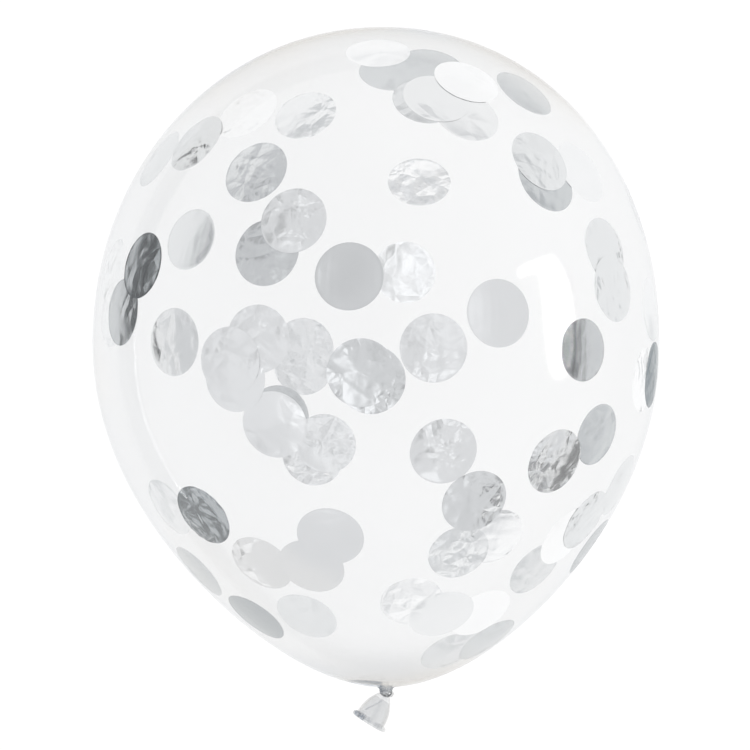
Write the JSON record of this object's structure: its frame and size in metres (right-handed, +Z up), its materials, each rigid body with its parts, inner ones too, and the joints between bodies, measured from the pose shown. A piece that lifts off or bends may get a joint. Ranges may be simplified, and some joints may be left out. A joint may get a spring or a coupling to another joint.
{
  "type": "confetti balloon",
  "caption": "Clear round party balloon, knotted and lying on its side, with foil confetti discs clinging to the inside of its skin.",
  "frame": {"origin": "middle of the small flat patch that the balloon rests on, under its widest girth", "axes": "+Y along the long axis from the knot towards the crown, +Z up from the floor, +X to the right with the crown away from the viewer"},
  "size_m": [0.28, 0.3483, 0.2785],
  "materials": {
    "clear_latex": "clear, thin, glossy natural latex",
    "silver_foil": "thin bright foil, partly creased"
  },
  "bodies": {
    "root": {"balloon": "clear_latex"}
  },
  "joints": []
}
